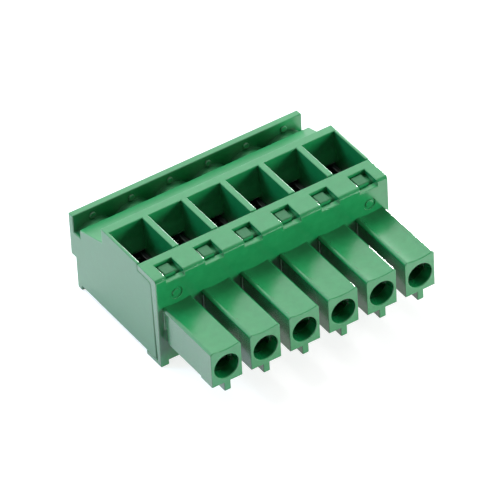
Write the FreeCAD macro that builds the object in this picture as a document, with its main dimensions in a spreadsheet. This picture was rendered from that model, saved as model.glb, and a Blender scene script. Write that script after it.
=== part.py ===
import FreeCAD, Part
import math
import os
import Sketcher

# Pluggable terminal block: six poles in a row along X, fingers pointing to -Y,
# wires entering from +Z, clamp screws reached from +Y. Millimetres.
# Inside each body Y is measured back from the plug face, the front of the wall
# that the fingers stand on, and Z up from the surface the feet rest on.

SIZES = [
    ("pole_count", 6, "poles in the row"),
    ("pitch", 5.08, "distance between poles"),
    ("partition", 0.78, "wall between neighbouring poles"),

    ("body_floor", 0.6, "underside of the housing above the feet's soles"),
    ("body_depth", 18.05, "plug face to the back of the rear strip"),
    ("foot_width", 1.1, "width of each foot along the row"),
    ("front_foot_depth", 3.0, "front foot, front to back"),
    ("rear_foot_depth", 0.9, "rear foot, front to back"),

    ("wall_thickness", 1.1, "front wall under the bar"),
    ("wall_toe", 0.75, "front wall at its lower edge"),
    ("seam_slit", 0.2, "slit between the shells at the lower edge"),
    ("seam_radius", 0.5, "rounded inner corner between wall and bar"),
    ("rim_top", 12.4, "rim of the wire funnels"),
    ("bar_drop", 0.1, "top of the bar below that rim"),
    ("bar_thickness", 0.85, "bar, top to bottom"),
    ("bar_depth", 3.75, "plug face to the bar's rear edge"),
    ("bar_bevel_depth", 0.25, "bevel on the bar's front edge, along Y"),
    ("bar_bevel_height", 0.35, "bevel on the bar's front edge, along Z"),
    ("window_width", 2.26, "latch window along the row"),
    ("window_rear", 2.55, "plug face to the window's rear edge"),
    ("sill_depth", 0.8, "plug face to the front edge of the window's hole"),
    ("sill_drop", 0.8, "sill below the bar's top"),
    ("ring_radius", 0.76, "ejector mark on the wall, outer radius"),
    ("ring_core", 0.5, "ejector mark, raised middle"),
    ("ring_depth", 0.12, "ejector mark, depth of the groove"),
    ("ring_rise", 1.2, "ejector mark above the fingers' upper edges"),

    ("finger_length", 9.6, "finger from the wall to its tip"),
    ("finger_wall", 0.4, "finger's wall beside the round mouth"),
    ("finger_above", 2.6, "pin axis to the finger's upper edges"),
    ("finger_below", 2.25, "pin axis to the finger's underside"),
    ("finger_dish", 0.22, "hollow of the finger's top face"),
    ("finger_bevel", 0.25, "bevel along the finger's upper edges"),
    ("pin_height", 5.75, "axis of the pins and of the clamp screws"),
    ("pin_bore", 1.55, "radius of the round mouth for the pin"),
    ("bore_length", 1.6, "length of that round mouth"),
    ("chamber_wall", 0.45, "finger's wall beside the contact chamber"),
    ("leaf_room", 0.3, "chamber above and below the spring leaves"),
    ("key_width", 0.85, "rib under the finger"),
    ("key_drop", 1.2, "rib below the finger"),
    ("key_length", 7.0, "rib from the finger's tip backwards"),
    ("panel_depth", 0.12, "shallow panel in the finger's flanks"),
    ("panel_setback", 2.3, "finger's tip to the panel's front edge"),
    ("panel_drop", 0.45, "panel's upper edge below the finger's"),
    ("panel_round", 0.9, "rounded front corner of the panel"),
    ("relief_depth", 0.25, "notch at the finger's root, along the row"),
    ("relief_length", 0.65, "notch at the finger's root, along Y"),
    ("relief_drop", 0.4, "top of that notch below the pin axis"),

    ("funnel_back", 0.46, "funnel's rear wall behind the front of the current bar"),
    ("funnel_wall", 1.14, "funnel's rear wall, front to back"),
    ("lip_one", 0.26, "first inner lip in front of the funnel's rear wall"),
    ("lip_two", 0.5, "second inner lip in front of the funnel's rear wall"),
    ("web_front", 3.8, "plug face to the funnel's front web"),
    ("web_thickness", 0.8, "front web of the funnel"),
    ("toe_length", 0.95, "toe that guides the wire, behind the web"),
    ("plate_thickness", 0.75, "plate under the bar that carries the pegs"),
    ("floor_thickness", 0.8, "floor under the contacts"),
    ("roof", 1.2, "roof over the cages at the ledge's rear edge"),
    ("ledge_rise", 1.35, "ledge's rise to the funnel block"),
    ("strip_thickness", 0.9, "rear strip, front to back"),
    ("strip_stand", 0.95, "back of the strip behind the face below it"),
    ("strip_rise", 4.3, "screw axis to the top of the strip"),
    ("strip_fall", 1.55, "screw axis to the lower edge of the strip"),
    ("trough_width", 1.4, "trough between ledge and strip"),
    ("trough_end", 2.05, "screw axis to the trough's floor at the ends of the row"),
    ("trough_floor", 1.15, "screw axis to the trough's floor between the wells"),
    ("end_web", 0.45, "web that closes the trough at each end"),
    ("arch_wall", 0.6, "arched wall over a screw well"),
    ("arch_gap", 0.18, "gap between neighbouring arches"),
    ("peg_width", 1.4, "latch peg along the row"),
    ("peg_offset", 0.12, "latch peg towards pole one from the pole's centre"),
    ("peg_play", 0.05, "latch peg to the front of its window"),
    ("peg_drop", 0.35, "top of the latch peg below the bar's top"),
    ("nub_radius", 0.4, "locating nub on the strip"),
    ("nub_length", 0.25, "locating nub, length"),
    ("nub_drop", 0.95, "locating nub below the strip's top"),

    ("side_play", 0.05, "play beside the cage and the contact"),
    ("contact_thickness", 0.7, "sheet of the contact"),
    ("contact_rise", 1.65, "screw axis to the upper edge of the current bar"),
    ("blade_play", 0.1, "play beside the socket in its chamber"),
    ("leaf_thickness", 0.4, "spring leaves of the socket"),
    ("leaf_spread", 2.7, "socket over both leaves at its root"),
    ("leaf_gap", 0.85, "gap between the leaves where they grip"),
    ("mouth_gap", 1.7, "gap between the leaves at the socket's mouth"),
    ("socket_root", 3.4, "plug face to the back of the socket's root"),
    ("socket_setback", 2.4, "finger's tip to the socket's mouth"),
    ("grip_setback", 1.3, "socket's mouth to the grip point"),

    ("toe_play", 0.25, "toe to the front of the open cage"),
    ("closed_gap", 0.3, "wire space left in the closed cage"),
    ("cage_sheet", 0.8, "front wall of the cage"),
    ("cage_side", 0.6, "side walls of the cage"),
    ("cage_nut", 1.6, "threaded rear wall of the cage"),
    ("cage_height", 4.0, "cage, top to bottom"),
    ("cage_play", 0.2, "cage to bar and to bulkhead at the stroke's ends"),

    ("screw_radius", 1.45, "screw shank"),
    ("screw_play", 0.05, "running play of the shank in the cage"),
    ("tip_radius", 1.0, "screw tip"),
    ("tip_length", 0.5, "tapered screw tip"),
    ("tip_play", 0.05, "screw tip to the current bar"),
    ("bulkhead", 0.6, "bulkhead between cage and screw head"),
    ("bulkhead_play", 0.2, "shank's play in the bulkhead"),
    ("well_depth", 2.65, "bulkhead to the back of the strip"),
    ("well_partition", 0.48, "wall between neighbouring screw wells"),
    ("head_play", 0.2, "head's play in the well"),
    ("head_height", 1.6, "screw head, length"),
    ("head_bevel", 0.3, "bevelled edge of the screw head"),
    ("slot_width", 0.7, "screwdriver slot"),
    ("slot_depth", 0.8, "depth of the screwdriver slot"),
]

doc = FreeCAD.newDocument("terminal_block")
sheet = doc.addObject("Spreadsheet::Sheet", "Sizes")
for row, (word, size, note) in enumerate(SIZES, start=1):
    sheet.set(f"A{row}", word)
    sheet.set(f"B{row}", str(size))
    sheet.set(f"C{row}", note)
    sheet.setAlias(f"B{row}", word)
doc.recompute()


# Each word in an expression that names a size is read from the sheet.
def bound(expression):
    text = str(expression)
    for word in sorted((name for name, _, _ in SIZES), key=len, reverse=True):
        text = text.replace(f"<{word}>", f"Sizes.{word}")
    return text


def reading(expression):
    return float(sheet.evalExpression(bound(expression)))


# Planes seen from outside: XY_Plane holds (X, Y), XZ_Plane holds (X, Z) and
# faces -Y, YZ_Plane holds (Y, Z) and faces +X.
def open_sketch(body, name, role, offset):
    sketch = body.newObject("Sketcher::SketchObject", name)
    plane = next(item for item in body.Origin.OriginFeatures if item.Role == role)
    sketch.AttachmentSupport = (plane, [""])
    sketch.MapMode = "FlatFace"
    sketch.setExpression("AttachmentOffset.Base.z", bound(offset))
    return sketch


def fix_point(sketch, geometry, end, spot):
    for kind, expression in zip(("DistanceX", "DistanceY"), spot):
        index = sketch.addConstraint(
            Sketcher.Constraint(kind, -1, 1, geometry, end, reading(expression)))
        sketch.setExpression(f"Constraints[{index}]", bound(expression))


# A closed outline through the corners. A side that leaves corner i is an arc
# where arcs holds a radius for i; bulge +1 has its centre left of the side.
def outline(body, name, role, offset, corners, arcs=None):
    sketch = open_sketch(body, name, role, offset)
    arcs = arcs or {}
    points = [FreeCAD.Vector(reading(u), reading(v), 0) for u, v in corners]
    ends = []
    for index, start in enumerate(points):
        finish = points[(index + 1) % len(points)]
        if index not in arcs:
            sketch.addGeometry(Part.LineSegment(start, finish), False)
            ends.append((1, 2))
            continue
        radius, bulge = arcs[index]
        half = (finish - start) * 0.5
        rise = math.sqrt(max(reading(radius) ** 2 - half.Length ** 2, 0.0))
        left = FreeCAD.Vector(-half.y, half.x, 0).normalize()
        centre = start + half + left * (rise * bulge)
        first, last = (start, finish) if bulge > 0 else (finish, start)
        circle = Part.Circle(centre, FreeCAD.Vector(0, 0, 1), reading(radius))
        angles = [math.atan2(p.y - centre.y, p.x - centre.x) for p in (first, last)]
        sketch.addGeometry(Part.ArcOfCircle(circle, angles[0], angles[1]), False)
        ends.append((1, 2) if bulge > 0 else (2, 1))
    for index in range(len(points)):
        after = (index + 1) % len(points)
        sketch.addConstraint(
            Sketcher.Constraint("Coincident", index, ends[index][1], after, ends[after][0]))
    for index, spot in enumerate(corners):
        fix_point(sketch, index, ends[index][0], spot)
    for index, (radius, _) in arcs.items():
        number = sketch.addConstraint(
            Sketcher.Constraint("Radius", index, reading(radius)))
        sketch.setExpression(f"Constraints[{number}]", bound(radius))
    return sketch


def rectangle(body, name, role, offset, left, right, low, high):
    corners = [(left, low), (right, low), (right, high), (left, high)]
    return outline(body, name, role, offset, corners)


def circles(body, name, role, offset, centre, radii):
    sketch = open_sketch(body, name, role, offset)
    for radius in radii:
        middle = FreeCAD.Vector(reading(centre[0]), reading(centre[1]), 0)
        number = sketch.addGeometry(
            Part.Circle(middle, FreeCAD.Vector(0, 0, 1), reading(radius)), False)
        fix_point(sketch, number, 3, centre)
        index = sketch.addConstraint(
            Sketcher.Constraint("Radius", number, reading(radius)))
        sketch.setExpression(f"Constraints[{index}]", bound(radius))
    return sketch


def extrude(body, kind, name, sketch, length, reverse=False):
    feature = body.newObject(f"PartDesign::{kind}", name)
    feature.Profile = sketch
    feature.setExpression("Length", bound(length))
    feature.Reversed = reverse
    doc.recompute()
    return feature


def pad(body, name, sketch, length):
    return extrude(body, "Pad", name, sketch, length)


# A pocket runs against its sketch's normal, or along it where reverse is set.
# It has to take material away.
def pocket(body, name, sketch, length, reverse=False):
    before = body.Shape.Volume
    feature = extrude(body, "Pocket", name, sketch, length, reverse)
    if not feature.Shape.Volume < before:
        raise ValueError(f"{name} cuts nothing")
    return feature


def along_row(body, name, features, length, count):
    axis = next(item for item in body.Origin.OriginFeatures if item.Role == "X_Axis")
    pattern = body.newObject("PartDesign::LinearPattern", name)
    pattern.Originals = features
    pattern.Direction = (axis, [""])
    pattern.setExpression("Length", bound(length))
    pattern.setExpression("Occurrences", bound(count))
    body.Tip = pattern
    doc.recompute()
    return pattern


def start_body(label, across="0"):
    body = doc.addObject("PartDesign::Body", label)
    body.Label = label
    body.setExpression("Placement.Base.x", bound(across))
    body.setExpression("Placement.Base.y", bound("(<finger_length> - <body_depth>) / 2"))
    doc.recompute()
    return body


HALF_ROW = "<pitch> * <pole_count> / 2"
POLE_ONE = "(0 - <pitch> * (<pole_count> - 1) / 2)"
ROW_SPAN = "<pitch> * (<pole_count> - 1)"
POLE_SPACE = "(<pitch> - <partition>)"

BAR_TOP = "(<rim_top> - <bar_drop>)"
BAR_UNDER = f"({BAR_TOP} - <bar_thickness>)"
PLATE_UNDER = f"({BAR_UNDER} - <plate_thickness>)"

FINGER_WIDTH = "(2 * (<pin_bore> + <finger_wall>))"
FINGER_TOP = "(<pin_height> + <finger_above>)"
FINGER_FLOOR = "(<pin_height> - <finger_below>)"
CHAMBER_WIDTH = f"({FINGER_WIDTH} - 2 * <chamber_wall>)"
CHAMBER_HEIGHT = "(<leaf_spread> + 2 * <leaf_room>)"

# The clamp's stroke is what the body's depth leaves: the cage takes it up twice,
# once as wire space in front of the current bar and once as travel behind it.
WEB_REAR = "(<web_front> + <web_thickness>)"
TOE_REACH = f"({WEB_REAR} + <toe_length>)"
CAGE_FRONT = f"({TOE_REACH} + <toe_play>)"
WELL_FLOOR = "(<body_depth> - <well_depth>)"
BULKHEAD_FRONT = f"({WELL_FLOOR} - <bulkhead>)"
STROKE = (f"(({BULKHEAD_FRONT} - {CAGE_FRONT} - <cage_sheet> - <closed_gap>"
          " - <contact_thickness> - 2 * <cage_play> - <cage_nut>) / 2)")
BAR_FRONT = f"({CAGE_FRONT} + <cage_sheet> + <closed_gap> + {STROKE})"
BAR_BACK = f"({BAR_FRONT} + <contact_thickness>)"
NUT_FRONT = f"({BAR_BACK} + <cage_play>)"
CAGE_REAR = f"({NUT_FRONT} + <cage_nut>)"
CAVITY_FLOOR = "(<body_floor> + <floor_thickness>)"
CEILING = "(<pin_height> + <cage_height> / 2 + 2 * <side_play>)"

FUNNEL_REAR = f"({BAR_FRONT} + <funnel_back>)"
BOX_REAR = f"({FUNNEL_REAR} + <funnel_wall>)"
LEDGE_LOW = f"({CEILING} + <roof>)"
STRIP_FRONT = "(<body_depth> - <strip_thickness>)"
STRIP_TOP = "(<pin_height> + <strip_rise>)"
STRIP_FOOT = "(<pin_height> - <strip_fall>)"
REAR_FACE = "(<body_depth> - <strip_stand>)"
LEDGE_REAR = f"({STRIP_FRONT} - <trough_width>)"
TROUGH_END = "(<pin_height> + <trough_end>)"
WELL_RADIUS = "((<pitch> - <well_partition>) / 2)"
HEAD_RADIUS = f"({WELL_RADIUS} - <head_play>)"


def from_pole(shift):
    return f"{POLE_ONE} + {shift}"


def add_feet(body, front, rear):
    sole = rectangle(body, "foot_plan", "XY_Plane", "0",
                     f"0 - {HALF_ROW}", f"0 - {HALF_ROW} + <foot_width>", front, rear)
    foot = pad(body, "foot", sole, "<body_floor>")
    along_row(body, "feet", [foot], "<pitch> * <pole_count> - <foot_width>", "2")


def front_housing():
    body = start_body("front_housing")
    side = outline(body, "end_profile", "YZ_Plane", f"0 - {HALF_ROW}", [
        ("0", "<body_floor>"),
        ("<wall_toe>", "<body_floor>"),
        ("<wall_thickness>", f"{BAR_UNDER} - <seam_radius>"),
        ("<wall_thickness> + <seam_radius>", BAR_UNDER),
        ("<bar_depth>", BAR_UNDER),
        ("<bar_depth>", BAR_TOP),
        ("<bar_bevel_depth>", BAR_TOP),
        ("0", f"{BAR_TOP} - <bar_bevel_height>"),
    ], {2: ("<seam_radius>", -1)})
    pad(body, "wall_and_bar", side, "<pitch> * <pole_count>")
    add_feet(body, "0", "<front_foot_depth>")

    half = f"{FINGER_WIDTH} / 2"
    crown = f"({FINGER_WIDTH} / 2 - <finger_bevel>)"
    section = outline(body, "finger_section", "XZ_Plane", "0", [
        (from_pole(f"0 - {half}"), FINGER_FLOOR),
        (from_pole(half), FINGER_FLOOR),
        (from_pole(half), f"{FINGER_TOP} - <finger_bevel>"),
        (from_pole(crown), FINGER_TOP),
        (from_pole(f"0 - {crown}"), FINGER_TOP),
        (from_pole(f"0 - {half}"), f"{FINGER_TOP} - <finger_bevel>"),
    ], {3: (f"({crown} ^ 2 + <finger_dish> ^ 2) / (2 * <finger_dish>)", -1)})
    finger = pad(body, "finger", section, "<finger_length>")

    rib = rectangle(body, "key_section", "XZ_Plane", "<finger_length> - <key_length>",
                    from_pole("0 - <key_width> / 2"), from_pole("<key_width> / 2"),
                    f"{FINGER_FLOOR} - <key_drop>", f"{FINGER_FLOOR} + <key_width> / 2")
    key = pad(body, "key", rib, "<key_length>")

    opening = rectangle(body, "chamber_section", "XZ_Plane",
                        "<finger_length> - <bore_length>",
                        from_pole(f"0 - {CHAMBER_WIDTH} / 2"),
                        from_pole(f"{CHAMBER_WIDTH} / 2"),
                        f"<pin_height> - {CHAMBER_HEIGHT} / 2",
                        f"<pin_height> + {CHAMBER_HEIGHT} / 2")
    chamber = pocket(body, "chamber", opening,
                     "<finger_length> - <bore_length> + <wall_thickness>")
    round_mouth = circles(body, "bore_section", "XZ_Plane", "<finger_length>",
                          (POLE_ONE, "<pin_height>"), ["<pin_bore>"])
    bore = pocket(body, "bore", round_mouth, "<bore_length>")

    cuts = [finger, key, chamber, bore]
    panel_front = "(<panel_setback> - <finger_length>)"
    panel_top = f"({FINGER_TOP} - <panel_drop>)"
    for side_name, sign in (("left", "-"), ("right", "+")):
        flank = f"{POLE_ONE} {sign} {half}"
        panel = outline(body, f"{side_name}_panel_outline", "YZ_Plane", flank, [
            ("0 - <relief_length> / 2", FINGER_FLOOR),
            ("0 - <relief_length> / 2", panel_top),
            (f"{panel_front} + <panel_round>", panel_top),
            (panel_front, f"{panel_top} - <panel_round>"),
            (panel_front, FINGER_FLOOR),
        ], {2: ("<panel_round>", 1)})
        cuts.append(pocket(body, f"{side_name}_panel", panel, "<panel_depth>",
                           sign == "-"))
        notch = rectangle(body, f"{side_name}_relief_outline", "YZ_Plane", flank,
                          "0 - <relief_length>", "0",
                          FINGER_FLOOR, "<pin_height> - <relief_drop>")
        cuts.append(pocket(body, f"{side_name}_relief", notch, "<relief_depth>",
                           sign == "-"))

    hole = rectangle(body, "window_plan", "XY_Plane", BAR_TOP,
                     from_pole("0 - <window_width> / 2"), from_pole("<window_width> / 2"),
                     "<sill_depth>", "<window_rear>")
    cuts.append(pocket(body, "window", hole, "<bar_thickness> + <plate_thickness>"))
    sill = rectangle(body, "sill_plan", "XY_Plane", BAR_TOP,
                     from_pole("0 - <window_width> / 2"), from_pole("<window_width> / 2"),
                     "0", "<sill_depth>")
    cuts.append(pocket(body, "sill", sill, "<sill_drop>"))
    along_row(body, "poles", cuts, ROW_SPAN, "<pole_count>")

    mark = circles(body, "ring_outline", "XZ_Plane", "0",
                   (POLE_ONE, f"{FINGER_TOP} + <ring_rise>"),
                   ["<ring_radius>", "<ring_core>"])
    ring = pocket(body, "ring", mark, "<ring_depth>")
    along_row(body, "rings", [ring], ROW_SPAN, "2")
    return body


def rear_housing():
    body = start_body("rear_housing")
    side = outline(body, "end_profile", "YZ_Plane", f"0 - {HALF_ROW}", [
        ("<wall_toe> + <seam_slit>", "<body_floor>"),
        (REAR_FACE, "<body_floor>"),
        (REAR_FACE, STRIP_FOOT),
        ("<body_depth>", STRIP_FOOT),
        ("<body_depth>", STRIP_TOP),
        (STRIP_FRONT, STRIP_TOP),
        (STRIP_FRONT, TROUGH_END),
        (LEDGE_REAR, TROUGH_END),
        (LEDGE_REAR, LEDGE_LOW),
        (BOX_REAR, f"{LEDGE_LOW} + <ledge_rise>"),
        (BOX_REAR, "<rim_top>"),
        ("<bar_depth>", "<rim_top>"),
        ("<bar_depth>", BAR_UNDER),
        ("<wall_thickness> + <seam_radius>", BAR_UNDER),
        ("<wall_thickness>", f"{BAR_UNDER} - <seam_radius>"),
    ], {13: ("<seam_radius>", 1)})
    pad(body, "shell", side, "<pitch> * <pole_count>")

    trough = rectangle(body, "trough_plan", "XY_Plane", TROUGH_END,
                       f"<end_web> - {HALF_ROW}", f"{HALF_ROW} - <end_web>",
                       LEDGE_REAR, STRIP_FRONT)
    pocket(body, "trough", trough, "<trough_end> - <trough_floor>")
    add_feet(body, f"{REAR_FACE} - <rear_foot_depth>", REAR_FACE)

    arch_radius = f"({WELL_RADIUS} + <arch_wall>)"
    arch_half = "((<pitch> - <arch_gap>) / 2)"
    shoulder = f"<pin_height> + sqrt({arch_radius} ^ 2 - {arch_half} ^ 2)"
    arch = outline(body, "well_arch", "XZ_Plane", f"0 - {STRIP_FRONT}", [
        (from_pole(f"0 - {arch_half}"), "<pin_height>"),
        (from_pole(arch_half), "<pin_height>"),
        (from_pole(arch_half), shoulder),
        (from_pole(f"0 - {arch_half}"), shoulder),
    ], {2: (arch_radius, 1)})
    mound = pad(body, "well_mound", arch, "<trough_width>")

    cage_low = "<pin_height> - <cage_height> / 2 - 2 * <side_play>"
    lip_step = f"({FUNNEL_REAR} - <lip_two>)"
    section = outline(body, "pole_section", "YZ_Plane",
                      from_pole(f"0 - {POLE_SPACE} / 2"), [
        ("0", CAVITY_FLOOR),
        (f"{BAR_BACK} + <side_play>", CAVITY_FLOOR),
        (f"{BAR_BACK} + <side_play>", cage_low),
        (BULKHEAD_FRONT, cage_low),
        (BULKHEAD_FRONT, CEILING),
        (FUNNEL_REAR, CEILING),
        (lip_step, f"{CEILING} + <lip_two>"),
        (lip_step, f"{CEILING} + 2 * <lip_two>"),
        (f"{FUNNEL_REAR} - <lip_one>", f"{CEILING} + 3 * <lip_two>"),
        (f"{FUNNEL_REAR} - <lip_one>", f"{CEILING} + 4 * <lip_two>"),
        (FUNNEL_REAR, f"{CEILING} + 5 * <lip_two>"),
        (FUNNEL_REAR, "<rim_top>"),
        ("<bar_depth>", "<rim_top>"),
        ("<bar_depth>", BAR_UNDER),
        (WEB_REAR, BAR_UNDER),
        (WEB_REAR, f"{CEILING} + <toe_length>"),
        (TOE_REACH, f"{CEILING} + 2 * <side_play>"),
        (TOE_REACH, CEILING),
        ("<web_front>", CEILING),
        ("<web_front>", PLATE_UNDER),
        ("0", PLATE_UNDER),
    ])
    cavity = pocket(body, "pole_cavity", section, POLE_SPACE, True)

    way = circles(body, "bulkhead_hole", "XZ_Plane", f"0 - {BULKHEAD_FRONT}",
                  (POLE_ONE, "<pin_height>"), ["<screw_radius> + <bulkhead_play>"])
    shank_way = pocket(body, "shank_way", way, "<bulkhead>")
    mouth = circles(body, "well_section", "XZ_Plane", f"0 - {WELL_FLOOR}",
                    (POLE_ONE, "<pin_height>"), [WELL_RADIUS])
    well = pocket(body, "screw_well", mouth, "<well_depth>")

    stem = rectangle(body, "peg_plan", "XY_Plane", PLATE_UNDER,
                     from_pole("0 - <peg_offset> - <peg_width> / 2"),
                     from_pole("<peg_width> / 2 - <peg_offset>"),
                     "<sill_depth> + <peg_play>", "<window_rear> - 2 * <peg_play>")
    peg = pad(body, "peg", stem,
              "<bar_thickness> + <plate_thickness> - <peg_drop>")
    dot = circles(body, "nub_outline", "XZ_Plane", f"0 - {STRIP_FRONT}",
                  (POLE_ONE, f"{STRIP_TOP} - <nub_drop>"), ["<nub_radius>"])
    nub = pad(body, "nub", dot, "<nub_length>")
    along_row(body, "poles", [mound, cavity, shank_way, well, peg, nub],
              ROW_SPAN, "<pole_count>")
    return body


# One folded strip: upright current bar, run under the cage, riser and a socket
# of two spring leaves that grip the header's pin.
def contact(label, across):
    body = start_body(label, across)
    over = f"({CAVITY_FLOOR} + <contact_thickness>)"
    root = "<socket_root>"
    root_front = "(<socket_root> - <contact_thickness>)"
    tip = "(<socket_setback> - <finger_length>)"
    grip = "(<socket_setback> + <grip_setback> - <finger_length>)"
    wide = "<leaf_spread> / 2"
    inner = "(<leaf_spread> / 2 - <leaf_thickness>)"
    narrow = "<leaf_gap> / 2"
    flare = "<mouth_gap> / 2"
    axis = "<pin_height>"
    flank = f"({POLE_SPACE} / 2 - <side_play>)"
    blade = f"({CHAMBER_WIDTH} / 2 - <blade_play>)"
    side = outline(body, "strip_profile", "YZ_Plane", f"0 - {flank}", [
        (root_front, CAVITY_FLOOR),
        (BAR_BACK, CAVITY_FLOOR),
        (BAR_BACK, f"{axis} + <contact_rise>"),
        (BAR_FRONT, f"{axis} + <contact_rise>"),
        (BAR_FRONT, over),
        (root, over),
        (root, f"{axis} + {wide}"),
        (root_front, f"{axis} + {wide}"),
        (grip, f"{axis} + {narrow} + <leaf_thickness>"),
        (tip, f"{axis} + {flare} + <leaf_thickness>"),
        (tip, f"{axis} + {flare}"),
        (grip, f"{axis} + {narrow}"),
        (root_front, f"{axis} + {inner}"),
        (root_front, f"{axis} - {inner}"),
        (grip, f"{axis} - {narrow}"),
        (tip, f"{axis} - {flare}"),
        (tip, f"{axis} - {flare} - <leaf_thickness>"),
        (grip, f"{axis} - {narrow} - <leaf_thickness>"),
        (root_front, f"{axis} - {wide}"),
    ])
    pad(body, "strip", side, f"2 * {flank}")

    for side_name, near, far in (("left", f"0 - {flank}", f"0 - {blade}"),
                                 ("right", blade, flank)):
        trim = rectangle(body, f"{side_name}_trim_outline", "XZ_Plane",
                         f"0 - {tip}", near, far, over,
                         f"{axis} + <contact_rise> + <contact_thickness>")
        pocket(body, f"{side_name}_trim", trim, f"{BAR_BACK} - {tip}")
    return body


# A loop of sheet round the current bar. Its front wall draws the wire back
# against the bar when the screw pulls the threaded rear wall.
def clamp_cage(label, across):
    body = start_body(label, across)
    low = "<pin_height> - <cage_height> / 2"
    flank = f"({POLE_SPACE} / 2 - <side_play>)"
    plan = rectangle(body, "loop_plan", "XY_Plane", low,
                     f"0 - {flank}", flank, CAGE_FRONT, CAGE_REAR)
    pad(body, "loop", plan, "<cage_height>")
    inside = rectangle(body, "loop_inside", "XY_Plane", f"{low} + <cage_height>",
                       f"<cage_side> - {flank}", f"{flank} - <cage_side>",
                       f"{CAGE_FRONT} + <cage_sheet>", NUT_FRONT)
    pocket(body, "wire_way", inside, "<cage_height>")
    hole = circles(body, "thread_section", "XZ_Plane", f"0 - {NUT_FRONT}",
                   ("0", "<pin_height>"), ["<screw_radius> + <screw_play>"])
    pocket(body, "thread_hole", hole, "<cage_nut>")
    return body


def clamp_screw(label, across):
    body = start_body(label, across)
    start = f"({BAR_BACK} + <tip_play>)"
    seat = f"({WELL_FLOOR} + <cage_play> / 2)"
    top = f"({seat} + <head_height>)"
    half = outline(body, "turned_profile", "XY_Plane", "<pin_height>", [
        ("0", start),
        ("<tip_radius>", start),
        ("<screw_radius>", f"{start} + <tip_length>"),
        ("<screw_radius>", seat),
        (HEAD_RADIUS, seat),
        (HEAD_RADIUS, f"{top} - <head_bevel>"),
        (f"{HEAD_RADIUS} - <head_bevel>", top),
        ("0", top),
    ])
    turned = body.newObject("PartDesign::Revolution", "turned")
    turned.Profile = half
    turned.ReferenceAxis = (half, ["V_Axis"])
    turned.Angle = 360
    doc.recompute()
    cut = rectangle(body, "slot_outline", "XZ_Plane", f"0 - {top}",
                    f"0 - {HEAD_RADIUS}", HEAD_RADIUS,
                    "<pin_height> - <slot_width> / 2", "<pin_height> + <slot_width> / 2")
    pocket(body, "slot", cut, "<slot_depth>", True)
    return body


pieces = [front_housing(), rear_housing()]
for pole in range(1, int(reading("<pole_count>")) + 1):
    across = f"<pitch> * ({pole} - (<pole_count> + 1) / 2)"
    pieces.append(contact(f"contact_{pole}", across))
    pieces.append(clamp_cage(f"clamp_cage_{pole}", across))
    pieces.append(clamp_screw(f"clamp_screw_{pole}", across))
doc.recompute()

for item in doc.Objects:
    if {"Invalid", "Error"} & set(item.State):
        raise ValueError(f"{item.Name} failed: {item.State}")
for body in pieces:
    if body.Shape.isNull() or not body.Shape.isValid():
        raise ValueError(f"{body.Label} has no valid shape")
    if len(body.Shape.Solids) != 1:
        raise ValueError(f"{body.Label} has {len(body.Shape.Solids)} solids")

os.makedirs("parts", exist_ok=True)
for body in pieces:
    body.Shape.exportStep(f"parts/{body.Label}.step")
    box = body.Shape.BoundBox
    print(f"{body.Label}: {body.Shape.Volume:.1f} mm3, "
          f"X {box.XMin:.2f}..{box.XMax:.2f}, Y {box.YMin:.2f}..{box.YMax:.2f}, "
          f"Z {box.ZMin:.2f}..{box.ZMax:.2f}")
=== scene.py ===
import math

import bmesh
import bpy
from mathutils import Matrix, Vector


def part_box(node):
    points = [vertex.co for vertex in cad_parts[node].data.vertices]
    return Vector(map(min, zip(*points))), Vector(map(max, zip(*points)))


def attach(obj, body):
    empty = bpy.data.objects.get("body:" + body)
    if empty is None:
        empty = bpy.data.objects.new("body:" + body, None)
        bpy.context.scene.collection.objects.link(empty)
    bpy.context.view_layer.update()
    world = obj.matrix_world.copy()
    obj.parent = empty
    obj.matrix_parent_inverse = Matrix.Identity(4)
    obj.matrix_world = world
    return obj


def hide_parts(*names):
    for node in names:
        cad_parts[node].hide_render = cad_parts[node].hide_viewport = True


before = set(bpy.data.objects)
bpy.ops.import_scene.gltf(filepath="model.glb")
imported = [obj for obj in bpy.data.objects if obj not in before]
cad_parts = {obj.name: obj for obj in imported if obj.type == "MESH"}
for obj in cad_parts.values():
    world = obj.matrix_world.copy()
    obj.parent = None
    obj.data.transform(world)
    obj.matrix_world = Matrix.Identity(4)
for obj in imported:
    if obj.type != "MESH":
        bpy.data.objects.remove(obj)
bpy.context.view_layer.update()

mm = 0.001
poleCount = sum(1 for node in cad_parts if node.startswith("contact_"))
poles = range(1, poleCount + 1)
print("frame loaded,", poleCount, "poles")


# Shader groups

def newGroup(name, inputs, outputs):
    group = bpy.data.node_groups.new(name, "ShaderNodeTree")
    for label, kind in inputs.items():
        group.interface.new_socket(label, in_out="INPUT", socket_type=kind)
    for label, kind in outputs.items():
        group.interface.new_socket(label, in_out="OUTPUT", socket_type=kind)
    return group, group.nodes.new("NodeGroupInput"), group.nodes.new("NodeGroupOutput")


def setInputs(node, values):
    for label, value in values.items():
        node.inputs[label].default_value = value


def addMath(nodes, operation, *values):
    node = nodes.new("ShaderNodeMath")
    node.operation = operation
    for index, value in enumerate(values):
        if value is not None:
            node.inputs[index].default_value = value
    return node


texture = {
    "driftDetail": 3,
    "grainDetail": 2,
    "lineDetail": 4,
    "noiseMiddle": 0.5,
}

surfaceInputs = {
    "Tone": "NodeSocketColor",
    "Second Tone": "NodeSocketColor",
    "Roughness": "NodeSocketFloat",
    "Roughness Spread": "NodeSocketFloat",
}

surfaceOutputs = {
    "Color": "NodeSocketColor",
    "Roughness": "NodeSocketFloat",
    "Height": "NodeSocketFloat",
}


def addNoise(nodes, detail):
    node = nodes.new("ShaderNodeTexNoise")
    node.inputs["Detail"].default_value = detail
    return node


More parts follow.
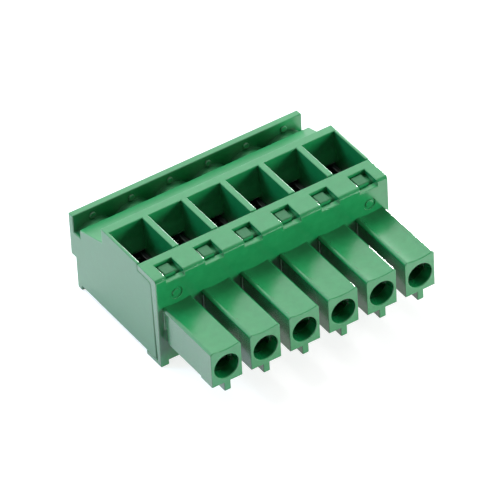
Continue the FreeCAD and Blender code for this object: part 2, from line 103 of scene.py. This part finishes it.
def finishSurface(group, given, out, tone, gloss, height):
    # tone, gloss and height are noise sockets, which turn the colour, roughness and relief
    nodes, links = group.nodes, group.links
    mix = nodes.new("ShaderNodeMix")
    mix.data_type = "RGBA"
    spread = addMath(nodes, "MULTIPLY_ADD")
    links.new(tone, mix.inputs["Factor"])
    links.new(given.outputs["Tone"], mix.inputs["A"])
    links.new(given.outputs["Second Tone"], mix.inputs["B"])
    links.new(gloss, spread.inputs[0])
    links.new(given.outputs["Roughness Spread"], spread.inputs[1])
    links.new(given.outputs["Roughness"], spread.inputs[2])
    links.new(mix.outputs["Result"], out.inputs["Color"])
    links.new(spread.outputs[0], out.inputs["Roughness"])
    links.new(height, out.inputs["Height"])


def buildMouldedSkin():
    # spark-eroded mould texture: slow drift of tone, fine grain in height and gloss
    group, given, out = newGroup("mouldedSkin", {
        **surfaceInputs,
        "Drift Scale": "NodeSocketFloat",
        "Grain Scale": "NodeSocketFloat",
    }, surfaceOutputs)
    nodes, links = group.nodes, group.links
    place = nodes.new("ShaderNodeTexCoord")
    drift = addNoise(nodes, texture["driftDetail"])
    grain = addNoise(nodes, texture["grainDetail"])
    centred = addMath(nodes, "SUBTRACT", None, texture["noiseMiddle"])
    links.new(place.outputs["Object"], drift.inputs["Vector"])
    links.new(place.outputs["Object"], grain.inputs["Vector"])
    links.new(given.outputs["Drift Scale"], drift.inputs["Scale"])
    links.new(given.outputs["Grain Scale"], grain.inputs["Scale"])
    links.new(grain.outputs["Fac"], centred.inputs[0])
    finishSurface(group, given, out, drift.outputs["Fac"], centred.outputs[0],
                  grain.outputs["Fac"])
    return group


def buildRolledMetal():
    # drawn lines along one axis, which turn the tone, the gloss and the height together
    group, given, out = newGroup("rolledMetal", {
        **surfaceInputs,
        "Stretch": "NodeSocketVector",
    }, surfaceOutputs)
    nodes, links = group.nodes, group.links
    place = nodes.new("ShaderNodeTexCoord")
    scaled = nodes.new("ShaderNodeVectorMath")
    scaled.operation = "MULTIPLY"
    lines = addNoise(nodes, texture["lineDetail"])
    lines.inputs["Scale"].default_value = 1  # the stretch has scaled the place
    links.new(place.outputs["Object"], scaled.inputs[0])
    links.new(given.outputs["Stretch"], scaled.inputs[1])
    links.new(scaled.outputs[0], lines.inputs["Vector"])
    line = lines.outputs["Fac"]
    finishSurface(group, given, out, line, line, line)
    return group


mouldedSkin = buildMouldedSkin()
rolledMetal = buildRolledMetal()


def finishMaterial(name, group, values, shader, relief):
    material = bpy.data.materials.new(name)
    material.use_nodes = True
    nodes, links = material.node_tree.nodes, material.node_tree.links
    principled = nodes["Principled BSDF"]
    setInputs(principled, shader)
    skin = nodes.new("ShaderNodeGroup")
    skin.node_tree = group
    setInputs(skin, values)
    bump = nodes.new("ShaderNodeBump")
    setInputs(bump, relief)
    links.new(skin.outputs["Color"], principled.inputs["Base Color"])
    links.new(skin.outputs["Roughness"], principled.inputs["Roughness"])
    links.new(skin.outputs["Height"], bump.inputs["Height"])
    links.new(bump.outputs["Normal"], principled.inputs["Normal"])
    return material


greenPolyamide = finishMaterial("greenPolyamide", mouldedSkin, {
    "Tone": (0.002, 0.152, 0.041, 1),
    "Second Tone": (0.009, 0.204, 0.060, 1),
    "Drift Scale": 1100.0,
    "Grain Scale": 9000.0,
    "Roughness": 0.24,
    "Roughness Spread": 0.08,
}, {
    "Specular IOR Level": 0.5,
    "Coat Weight": 1.0,
    "Coat Roughness": 0.19,
    "Coat IOR": 1.8,
}, {"Strength": 0.30, "Distance": 0.02 * mm})
satinPolyamide = finishMaterial("satinPolyamide", mouldedSkin, {
    "Tone": (0.002, 0.148, 0.041, 1),
    "Second Tone": (0.009, 0.196, 0.059, 1),
    "Drift Scale": 1300.0,
    "Grain Scale": 8000.0,
    "Roughness": 0.40,
    "Roughness Spread": 0.10,
}, {
    "Specular IOR Level": 0.5,
    "Coat Weight": 1.0,
    "Coat Roughness": 0.34,
    "Coat IOR": 1.8,
}, {"Strength": 0.40, "Distance": 0.02 * mm})
erodedPolyamide = finishMaterial("erodedPolyamide", mouldedSkin, {
    "Tone": (0.008, 0.085, 0.030, 1),
    "Second Tone": (0.030, 0.130, 0.052, 1),
    "Drift Scale": 2600.0,
    "Grain Scale": 9000.0,
    "Roughness": 0.52,
    "Roughness Spread": 0.20,
}, {
    "Specular IOR Level": 0.5,
    "Coat Weight": 0.25,
    "Coat Roughness": 0.35,
    "Coat IOR": 1.8,
}, {"Strength": 0.35, "Distance": 0.03 * mm})
# both metal tones are darker than bare tin and zinc, a painted shade for the deep funnels
# where the contacts, cages and screws sit
tinnedBrassPaintedShade = finishMaterial("tinnedBrassPaintedShade", rolledMetal, {
    "Tone": (0.34, 0.33, 0.31, 1),
    "Second Tone": (0.24, 0.235, 0.22, 1),
    "Stretch": (9000.0, 500.0, 500.0),
    "Roughness": 0.24,
    "Roughness Spread": 0.18,
}, {"Metallic": 1.0}, {"Strength": 0.2, "Distance": 0.01 * mm})
zincSteelPaintedShade = finishMaterial("zincSteelPaintedShade", rolledMetal, {
    "Tone": (0.30, 0.305, 0.32, 1),
    "Second Tone": (0.21, 0.215, 0.225, 1),
    "Stretch": (700.0, 700.0, 8000.0),
    "Roughness": 0.28,
    "Roughness Spread": 0.2,
}, {"Metallic": 1.0}, {"Strength": 0.2, "Distance": 0.01 * mm})
print("materials built")


def dress(obj, material):
    obj.data.materials.clear()
    obj.data.materials.append(material)


def addPiece(name, mesh, material, body, nodeReplaced):
    piece = bpy.data.objects.new(name, mesh)
    bpy.context.collection.objects.link(piece)
    dress(piece, material)
    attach(piece, body)
    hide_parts(nodeReplaced)
    return piece


def bakedMesh(obj):
    # the object's mesh with its modifiers applied
    bpy.context.view_layer.update()
    evaluated = obj.evaluated_get(bpy.context.evaluated_depsgraph_get())
    mesh = bpy.data.meshes.new_from_object(evaluated)
    bpy.data.objects.remove(obj)
    return mesh


# Rounded edges, as every moulded, stamped and turned piece has them

edgeFinish = {
    "mergeDistance": 0.002 * mm,
    "flatAngle": 0.6,
    "sharpAngle": 28.0,
    "creaseAngle": 48.0,
    "leastAcross": 0.35,
    "roomShare": 0.45,
    "shortestEdge": 0,
    "faceWeight": 100,
}


def edgeRoom(edge, values):
    # how far a rounding may reach before it meets the next one
    along = (edge.verts[1].co - edge.verts[0].co).normalized()
    room = math.inf
    for loop in edge.link_loops:
        for beside in (loop.link_loop_prev.edge, loop.link_loop_next.edge):
            lean = (beside.verts[1].co - beside.verts[0].co).normalized()
            across = along.cross(lean).length
            if across > values["leastAcross"]:
                room = min(room, values["roomShare"] * beside.calc_length() * across)
    return room


def flatShaded(mesh, values):
    # flat faces keep their own normal, and only the roundings between them turn it
    form = bmesh.new()
    form.from_mesh(mesh)
    crease = math.radians(values["creaseAngle"])
    for edge in form.edges:
        edge.smooth = edge.calc_face_angle(0) < crease
    for face in form.faces:
        face.smooth = True
    form.to_mesh(mesh)
    form.free()
    draft = bpy.data.objects.new(mesh.name + "Shading", mesh)
    bpy.context.collection.objects.link(draft)
    flatness = draft.modifiers.new("flatness", "WEIGHTED_NORMAL")
    flatness.keep_sharp = True
    flatness.weight = values["faceWeight"]
    return bakedMesh(draft)


def roundedCopy(nodeName, values):
    form = bmesh.new()
    form.from_mesh(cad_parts[nodeName].data)
    bmesh.ops.remove_doubles(form, verts=form.verts, dist=values["mergeDistance"])
    bmesh.ops.dissolve_limit(form, angle_limit=math.radians(values["flatAngle"]),
                             verts=form.verts, edges=form.edges)
    weight = form.edges.layers.float.new("bevel_weight_edge")
    sharp = math.radians(values["sharpAngle"])
    for edge in form.edges:
        if edge.calc_face_angle(0) < sharp:
            continue
        share = min(1.0, edgeRoom(edge, values) / values["edgeRound"])
        longEnough = edge.calc_length() > values["shortestEdge"]
        if edge.is_convex and longEnough and share > values["smallestShare"]:
            edge[weight] = share
        else:
            edge.smooth = False
    for face in form.faces:
        face.smooth = True
    mesh = bpy.data.meshes.new(nodeName + "Rounded")
    form.to_mesh(mesh)
    form.free()
    draft = bpy.data.objects.new(nodeName + "Draft", mesh)
    bpy.context.collection.objects.link(draft)
    rounding = draft.modifiers.new("rounding", "BEVEL")
    rounding.limit_method = "WEIGHT"
    rounding.width = values["edgeRound"]
    rounding.segments = values["segments"]
    rounding.use_clamp_overlap = False
    return flatShaded(bakedMesh(draft), values)


shellFinish = {
    **edgeFinish,
    "edgeRound": 0.13 * mm,
    "smallestShare": 0.15,
    "segments": 3,
    "skins": {"front_housing": greenPolyamide, "rear_housing": satinPolyamide},
}

pegFinish = {
    "reachBack": 3.4 * mm,
    "lowestTop": 11.7 * mm,
    "highestTop": 12.1 * mm,
    "leastUpward": 0.2,
}


def coatPegTops(shell, front):
    shell.data.materials.append(erodedPolyamide)
    for face in shell.data.polygons:
        inBand = pegFinish["lowestTop"] < face.center.z < pegFinish["highestTop"]
        inFront = face.center.y < front + pegFinish["reachBack"]
        if inBand and inFront and face.normal.z > pegFinish["leastUpward"]:
            face.material_index = 1


for nodeName, skin in shellFinish["skins"].items():
    shell = addPiece(nodeName + "_shell", roundedCopy(nodeName, shellFinish), skin,
                     "housing", nodeName)
    if nodeName == "rear_housing":
        coatPegTops(shell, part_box(nodeName)[0][1])
print("shells rounded")

sheetFinish = {
    **edgeFinish,
    "edgeRound": 0.09 * mm,
    "smallestShare": 0.12,
    "shortestEdge": 0.5 * mm,  # the rims of the bores stay sharp, which touch the side walls
    "segments": 2,
}

for pole in poles:
    addPiece(f"contact_strip_{pole}", roundedCopy(f"contact_{pole}", sheetFinish), tinnedBrassPaintedShade,
             "housing", f"contact_{pole}")
    addPiece(f"cage_loop_{pole}", roundedCopy(f"clamp_cage_{pole}", sheetFinish), zincSteelPaintedShade,
             f"cage_{pole}", f"clamp_cage_{pole}")
print("contacts and cages rounded")


# Geometry Nodes: a tree with named inputs, set by identifier before it is evaluated

def newTree(name, inputs):
    tree = bpy.data.node_groups.new(name, "GeometryNodeTree")
    for label, kind in inputs.items():
        tree.interface.new_socket(label, in_out="INPUT", socket_type=kind)
    tree.interface.new_socket("Geometry", in_out="OUTPUT", socket_type="NodeSocketGeometry")
    return tree, tree.nodes.new("NodeGroupInput"), tree.nodes.new("NodeGroupOutput")


def finishTree(tree, given, out, geometry):
    realized = tree.nodes.new("GeometryNodeRealizeInstances")
    coated = tree.nodes.new("GeometryNodeSetMaterial")
    tree.links.new(geometry, realized.inputs["Geometry"])
    tree.links.new(realized.outputs["Geometry"], coated.inputs["Geometry"])
    tree.links.new(given.outputs["Material"], coated.inputs["Material"])
    tree.links.new(coated.outputs["Geometry"], out.inputs["Geometry"])


def treeMesh(mesh, tree, values):
    draft = bpy.data.objects.new(tree.name + "Draft", mesh)
    bpy.context.collection.objects.link(draft)
    maker = draft.modifiers.new(tree.name, "NODES")
    maker.node_group = tree
    for item in tree.interface.items_tree:
        if item.in_out == "INPUT" and item.name in values:
            maker[item.identifier] = values[item.name]
    return bakedMesh(draft)


# Clamp screws: turned body with a rolled thread

screwFinish = {
    **edgeFinish,
    "sharpAngle": 35.0,
    "edgeRound": 0.06 * mm,
    "smallestShare": 0.12,
    "segments": 2,
    "shankRadius": 1.45 * mm,
    "shankRoom": 0.1 * mm,
    "coreRadius": 1.22 * mm,
    "crestRadius": 1.47 * mm,
    "threadPitch": 0.5 * mm,
    "threadFoot": 0.46 * mm,
    "threadCrest": 0.07 * mm,
    "threadSunk": 0.1,
    "threadSteps": 26,
    "runOutRate": 14,
    "runOutStart": 0.12,
    "tipRoom": 0.45 * mm,
    "headRoom": 0.25 * mm,
    "headLength": 1.6 * mm,
    "neckRoom": 0.05 * mm,
}


def buildThreadTree():
    # a wedge wound round the shank, thinning out at both ends
    tree, given, out = newTree("rolledThread", {
        "Geometry": "NodeSocketGeometry",
        "Start": "NodeSocketVector",
        "Turns": "NodeSocketFloat",
        "Length": "NodeSocketFloat",
        "Core Radius": "NodeSocketFloat",
        "Depth": "NodeSocketFloat",
        "Foot Width": "NodeSocketFloat",
        "Crest Width": "NodeSocketFloat",
        "Steps": "NodeSocketInt",
        "Material": "NodeSocketMaterial",
    })
    nodes, links = tree.nodes, tree.links
    spiral = nodes.new("GeometryNodeCurveSpiral")
    links.new(given.outputs["Steps"], spiral.inputs["Resolution"])
    links.new(given.outputs["Turns"], spiral.inputs["Rotations"])
    links.new(given.outputs["Core Radius"], spiral.inputs["Start Radius"])
    links.new(given.outputs["Core Radius"], spiral.inputs["End Radius"])
    links.new(given.outputs["Length"], spiral.inputs["Height"])
    upright = nodes.new("GeometryNodeSetCurveNormal")
    upright.mode = "Z_UP"
    links.new(spiral.outputs["Curve"], upright.inputs["Curve"])

    along = nodes.new("GeometryNodeSplineParameter")
    away = addMath(nodes, "SUBTRACT", 1)
    nearest = addMath(nodes, "MINIMUM")
    runOut = addMath(nodes, "MULTIPLY_ADD", None, screwFinish["runOutRate"],
                     screwFinish["runOutStart"])
    runOut.use_clamp = True
    links.new(along.outputs["Factor"], away.inputs[1])
    links.new(along.outputs["Factor"], nearest.inputs[0])
    links.new(away.outputs[0], nearest.inputs[1])
    links.new(nearest.outputs[0], runOut.inputs[0])

    wedge = nodes.new("GeometryNodeCurvePrimitiveQuadrilateral")
    wedge.mode = "TRAPEZOID"
    links.new(given.outputs["Depth"], wedge.inputs["Height"])
    links.new(given.outputs["Foot Width"], wedge.inputs["Bottom Width"])
    links.new(given.outputs["Crest Width"], wedge.inputs["Top Width"])
    wedge.inputs["Offset"].default_value = 0
    outward = nodes.new("GeometryNodeTransform")
    outward.inputs["Rotation"].default_value = (0, 0, math.radians(90))
    links.new(wedge.outputs["Curve"], outward.inputs["Geometry"])
    # the wedge is centred, so half its depth, less the share sunk in the core, raises it
    height = addMath(nodes, "MULTIPLY", None, 0.5 - screwFinish["threadSunk"])
    raised = nodes.new("ShaderNodeCombineXYZ")
    links.new(given.outputs["Depth"], height.inputs[0])
    links.new(height.outputs[0], raised.inputs["X"])
    links.new(raised.outputs["Vector"], outward.inputs["Translation"])

    swept = nodes.new("GeometryNodeCurveToMesh")
    swept.inputs["Fill Caps"].default_value = True
    links.new(upright.outputs["Curve"], swept.inputs["Curve"])
    links.new(outward.outputs["Geometry"], swept.inputs["Profile Curve"])
    links.new(runOut.outputs[0], swept.inputs["Scale"])

    laid = nodes.new("GeometryNodeTransform")
    laid.inputs["Rotation"].default_value = (math.radians(-90), 0, 0)
    links.new(swept.outputs["Mesh"], laid.inputs["Geometry"])
    links.new(given.outputs["Start"], laid.inputs["Translation"])
    joined = nodes.new("GeometryNodeJoinGeometry")
    links.new(laid.outputs["Geometry"], joined.inputs["Geometry"])
    links.new(given.outputs["Geometry"], joined.inputs["Geometry"])
    finishTree(tree, given, out, joined.outputs["Geometry"])
    return tree


rolledThread = buildThreadTree()


def thinShank(mesh, neck, middleX, middleZ):
    # the shank goes down to the thread's core
    widest = screwFinish["shankRadius"] + screwFinish["shankRoom"]
    for vertex in mesh.vertices:
        reach = math.hypot(vertex.co.x - middleX, vertex.co.z - middleZ)
        below = vertex.co.y < neck + screwFinish["neckRoom"]
        if below and screwFinish["coreRadius"] < reach < widest:
            share = screwFinish["coreRadius"] / reach
            vertex.co.x = middleX + (vertex.co.x - middleX) * share
            vertex.co.z = middleZ + (vertex.co.z - middleZ) * share


for pole in poles:
    low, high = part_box(f"clamp_screw_{pole}")
    middleX = (low[0] + high[0]) / 2
    middleZ = (low[2] + high[2]) / 2
    body = roundedCopy(f"clamp_screw_{pole}", screwFinish)
    neck = high[1] - screwFinish["headLength"]
    thinShank(body, neck, middleX, middleZ)
    length = neck - low[1] - screwFinish["tipRoom"] - screwFinish["headRoom"]
    depth = screwFinish["crestRadius"] - screwFinish["coreRadius"]
    mesh = treeMesh(body, rolledThread, {
        "Start": (middleX, low[1] + screwFinish["tipRoom"], middleZ),
        "Turns": length / screwFinish["threadPitch"],
        "Length": length,
        "Core Radius": screwFinish["coreRadius"],
        "Depth": depth / (1 - screwFinish["threadSunk"]),
        "Foot Width": screwFinish["threadFoot"],
        "Crest Width": screwFinish["threadCrest"],
        "Steps": screwFinish["threadSteps"],
        "Material": zincSteelPaintedShade,
    })
    addPiece(f"turned_screw_{pole}", mesh, zincSteelPaintedShade, f"screw_{pole}",
             f"clamp_screw_{pole}")
print("screws threaded")


# Floor, light and camera

stage = {
    "floorRadius": 0.6,
    "floorCorners": 96,
    "floorGap": 0.02 * mm,
    "floorTone": 0.45,
    "floorRoughness": 0.9,
    "floorGlow": 0.76,
    "floorMirrored": 0.32,
    "worldStrength": 0.42,
    "tentBack": (0, 0.8, 0.6),
    "tentOpen": -0.3,
    "tentClosed": 0.6,
    "openShare": 0.2,
    "lamps": {
        "key": {"place": (0.02, 0.27, 0.35), "size": 0.34, "power": 3.0, "tone": (1, 1, 1),
                "mirrored": False},
        "rim": {"place": (0.37, 0.30, 0.045), "size": 0.08, "power": 1.5, "tone": (1, 1, 1),
                "mirrored": True},
        "front": {"place": (0.22, -0.34, 0.07), "size": 0.16, "power": 2.3, "tone": (1, 1, 1),
                  "mirrored": False},
        "side": {"place": (-0.27, 0.24, 0.20), "size": 0.22, "power": 1.55,
                 "tone": (0.35, 0.68, 1), "mirrored": False},
    },
}


def surroundRays(nodes, links, seen, mirrored):
    # one share for camera rays, another for glossy and transmission rays, else 0
    rays = nodes.new("ShaderNodeLightPath")
    straight = addMath(nodes, "MULTIPLY", None, seen)
    bounced = addMath(nodes, "MAXIMUM")
    share = addMath(nodes, "MULTIPLY", None, mirrored)
    either = addMath(nodes, "MAXIMUM")
    links.new(rays.outputs["Is Camera Ray"], straight.inputs[0])
    links.new(rays.outputs["Is Glossy Ray"], bounced.inputs[0])
    links.new(rays.outputs["Is Transmission Ray"], bounced.inputs[1])
    links.new(bounced.outputs[0], share.inputs[0])
    links.new(straight.outputs[0], either.inputs[0])
    links.new(share.outputs[0], either.inputs[1])
    return either.outputs[0]


def buildFloor():
    bpy.ops.mesh.primitive_circle_add(vertices=stage["floorCorners"],
                                      radius=stage["floorRadius"], fill_type="NGON",
                                      location=(0, 0, -stage["floorGap"]))
    floor = bpy.context.object
    floor.name = "floor"
    material = bpy.data.materials.new("paleFloor")
    material.use_nodes = True
    nodes, links = material.node_tree.nodes, material.node_tree.links
    principled = nodes["Principled BSDF"]
    tone = stage["floorTone"]
    setInputs(principled, {
        "Base Color": (tone, tone, tone, 1),
        "Roughness": stage["floorRoughness"],
        "Emission Color": (1, 1, 1, 1),
    })
    links.new(surroundRays(nodes, links, stage["floorGlow"], stage["floorMirrored"]),
              principled.inputs["Emission Strength"])
    dress(floor, material)


def buildLight():
    # the tent is open towards the camera, so it lights less from there
    world = bpy.data.worlds.new("softTent")
    bpy.context.scene.world = world
    world.use_nodes = True
    nodes, links = world.node_tree.nodes, world.node_tree.links
    background = nodes["Background"]
    background.inputs["Color"].default_value = (1, 1, 1, 1)
    direction = nodes.new("ShaderNodeTexCoord")
    facing = nodes.new("ShaderNodeVectorMath")
    facing.operation = "DOT_PRODUCT"
    facing.inputs[1].default_value = stage["tentBack"]
    wall = nodes.new("ShaderNodeMapRange")
    wall.interpolation_type = "SMOOTHSTEP"
    setInputs(wall, {
        "From Min": stage["tentOpen"],
        "From Max": stage["tentClosed"],
        "To Min": stage["openShare"],
    })
    links.new(direction.outputs["Generated"], facing.inputs[0])
    links.new(facing.outputs["Value"], wall.inputs["Value"])
    scattered = addMath(nodes, "MULTIPLY", None, stage["worldStrength"])
    links.new(wall.outputs["Result"], scattered.inputs[0])
    bounce = nodes.new("ShaderNodeMix")
    links.new(surroundRays(nodes, links, 0, 1), bounce.inputs["Factor"])
    links.new(scattered.outputs[0], bounce.inputs["A"])
    links.new(wall.outputs["Result"], bounce.inputs["B"])
    strength = nodes.new("ShaderNodeMix")
    strength.inputs["B"].default_value = 1  # white, for the camera
    links.new(surroundRays(nodes, links, 1, 0), strength.inputs["Factor"])
    links.new(bounce.outputs["Result"], strength.inputs["A"])
    links.new(strength.outputs["Result"], background.inputs["Strength"])

    for name, values in stage["lamps"].items():
        lamp = bpy.data.lights.new(name, "AREA")
        lamp.shape = "DISK"
        lamp.size = values["size"]
        lamp.energy = values["power"]
        lamp.color = values["tone"]
        place = Vector(values["place"])
        holder = bpy.data.objects.new(name, lamp)
        holder.visible_glossy = values["mirrored"]
        holder.location = place
        holder.rotation_mode = "QUATERNION"
        holder.rotation_quaternion = (-place).to_track_quat("-Z", "Y")
        bpy.context.collection.objects.link(holder)


view = {
    "azimuth": -31.58,
    "elevation": 39.97,
    "roll": -3.13,
    "place": (-0.24806, -0.40277, 0.40291),
    "focalPixels": 5604.1,
    "imagePixels": 500,
    "sensorWidth": 36,
    "clipStart": 0.01,
}


def buildCamera():
    data = bpy.data.cameras.new("camera")
    data.sensor_width = view["sensorWidth"]
    data.lens = view["focalPixels"] * view["sensorWidth"] / view["imagePixels"]
    data.clip_start = view["clipStart"]
    camera = bpy.data.objects.new("camera", data)
    turn = math.radians(view["azimuth"])
    lift = math.radians(view["elevation"])
    roll = math.radians(view["roll"])
    back = Vector((math.sin(turn) * math.cos(lift), -math.cos(turn) * math.cos(lift),
                   math.sin(lift)))
    right = Vector((math.cos(turn), math.sin(turn), 0))
    above = back.cross(right)
    axes = Matrix((right * math.cos(roll) + above * math.sin(roll),
                   above * math.cos(roll) - right * math.sin(roll),
                   back)).transposed()
    camera.matrix_world = Matrix.Translation(view["place"]) @ axes.to_4x4()
    bpy.context.collection.objects.link(camera)
    bpy.context.scene.camera = camera


buildFloor()
buildLight()
buildCamera()
bpy.context.scene.view_settings.view_transform = "Standard"
print("stage, light and camera built")
